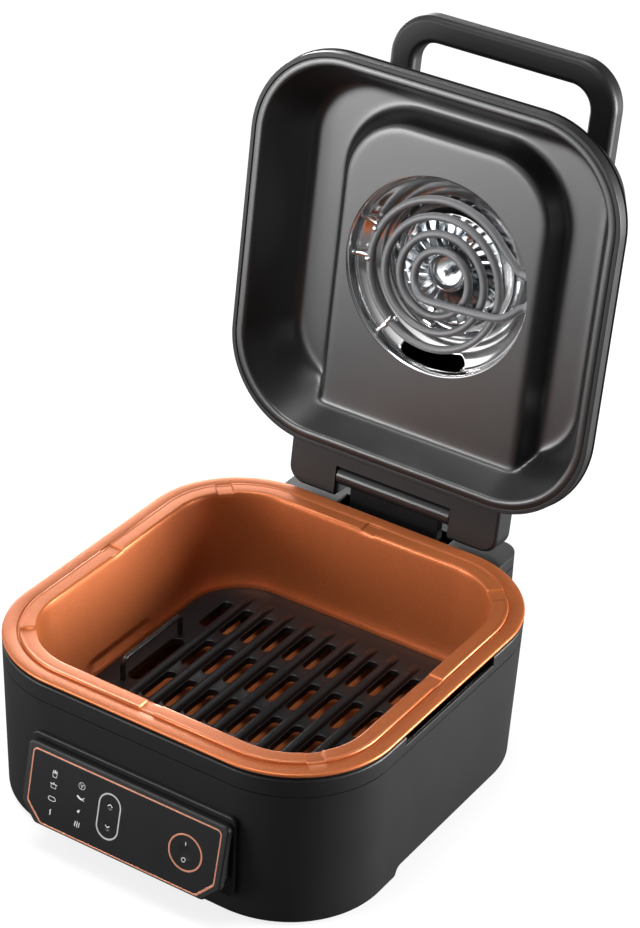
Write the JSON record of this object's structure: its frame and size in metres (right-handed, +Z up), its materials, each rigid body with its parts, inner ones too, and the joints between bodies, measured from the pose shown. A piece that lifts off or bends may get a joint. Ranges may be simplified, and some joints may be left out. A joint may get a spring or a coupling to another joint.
{
  "type": "air fryer grill",
  "caption": "Countertop air fryer grill: square rounded body with control panel, lift-out pot and grill plate, and a rear-hinged domed lid with fan and spiral heating element.",
  "frame": {"origin": "centre of the body's footprint (rim centre, without the rear bulge) at table level, under the pot's middle", "axes": "+Z up, the control panel faces -Y, the hinge is at +Y, +X is to the right seen from the front"},
  "size_m": [0.32, 0.4955, 0.4935],
  "materials": {
    "matte_black": "matt",
    "gloss_black": "gloss",
    "black_nonstick": "satin non-stick coating",
    "copper_nonstick": "copper-coloured non-stick coating",
    "copper_trim": "satin copper",
    "pale_ring": "pale, lit from behind",
    "black_rubber": "matt",
    "galvanised_steel": "satin",
    "black_wire": "black coating",
    "polished_steel": "polished",
    "grey_element": "oxidised, matt",
    "fan_steel": "satin",
    "board_green": "circuit board",
    "grey_plastic": "matt"
  },
  "bodies": {
    "base": {"base_housing": "matte_black", "housing_rim": "matte_black", "base_plate": "matte_black", "rubber_feet": "black_rubber", "base_screws": "galvanised_steel", "heat_shield": "galvanised_steel", "hinge_bracket": "gloss_black", "hinge_pin": "galvanised_steel", "torsion_springs": "galvanised_steel", "panel_bezel": "matte_black", "panel_trim": "copper_trim", "panel_lens": "gloss_black", "arrow_key_ring": "pale_ring", "power_key_ring": "copper_trim", "control_board": "board_green", "display_module": "gloss_black", "key_switches": "grey_plastic", "power_board": "board_green", "lid_switch": "grey_plastic", "cord_gland": "black_rubber"},
    "pot": {"cooking_pot": "copper_nonstick"},
    "grill": {"grill_plate": "black_nonstick", "grill_plate_left": "black_nonstick", "grill_plate_right": "black_nonstick", "grill_bumpers": "black_rubber", "grill_handles": "black_wire"},
    "lid": {"lid_liner": "black_nonstick", "lid_frame": "matte_black", "lid_cover": "matte_black", "vent_grille": "matte_black", "lid_handle": "matte_black", "handle_screws": "galvanised_steel", "hinge_screws": "galvanised_steel", "lid_plaque": "gloss_black", "lid_hinge_block": "matte_black", "reflector_dish": "polished_steel", "heating_element": "grey_element", "element_terminals": "grey_element", "element_clips": "polished_steel", "temperature_probe": "polished_steel", "thermal_fuse": "grey_plastic", "fan_motor": "galvanised_steel", "motor_bracket": "galvanised_steel", "bracket_nuts": "galvanised_steel"},
    "fan": {"fan_impeller": "fan_steel", "fan_shaft": "galvanised_steel", "fan_nut": "galvanised_steel", "cooling_fan": "galvanised_steel"},
    "power_key": {"power_rocker": "gloss_black"},
    "arrow_key": {"arrow_rocker": "gloss_black"}
  },
  "joints": [
    {"name": "lid_hinge", "type": "hinge", "parent": "base", "child": "lid", "pos_m": [0, 0.1796, 0.1508], "axis": [-1, 0, 0], "range_deg": [-96.1, 0]},
    {"name": "fan_spin", "type": "hinge", "parent": "lid", "child": "fan", "pos_m": [0, 0.23735, 0.32324], "axis": [0, 0.9943, -0.1063], "continuous": true},
    {"name": "pot_lift", "type": "slide", "parent": "base", "child": "pot", "axis": [0, 0, 1], "range_m": [0, 0.14]},
    {"name": "grill_lift", "type": "slide", "parent": "pot", "child": "grill", "axis": [0, 0, 1], "range_m": [0, 0.09]},
    {"name": "power_rocker", "type": "hinge", "parent": "base", "child": "power_key", "pos_m": [0.0551, -0.17344, 0.05377], "axis": [1, 0, 0], "range_deg": [-2.5, 2.5], "stiffness_Nm_per_rad": 0.4},
    {"name": "arrow_rocker", "type": "hinge", "parent": "base", "child": "arrow_key", "pos_m": [-0.0116, -0.17336, 0.05416], "axis": [1, 0, 0], "range_deg": [-1.8, 1.8], "stiffness_Nm_per_rad": 0.4}
  ]
}
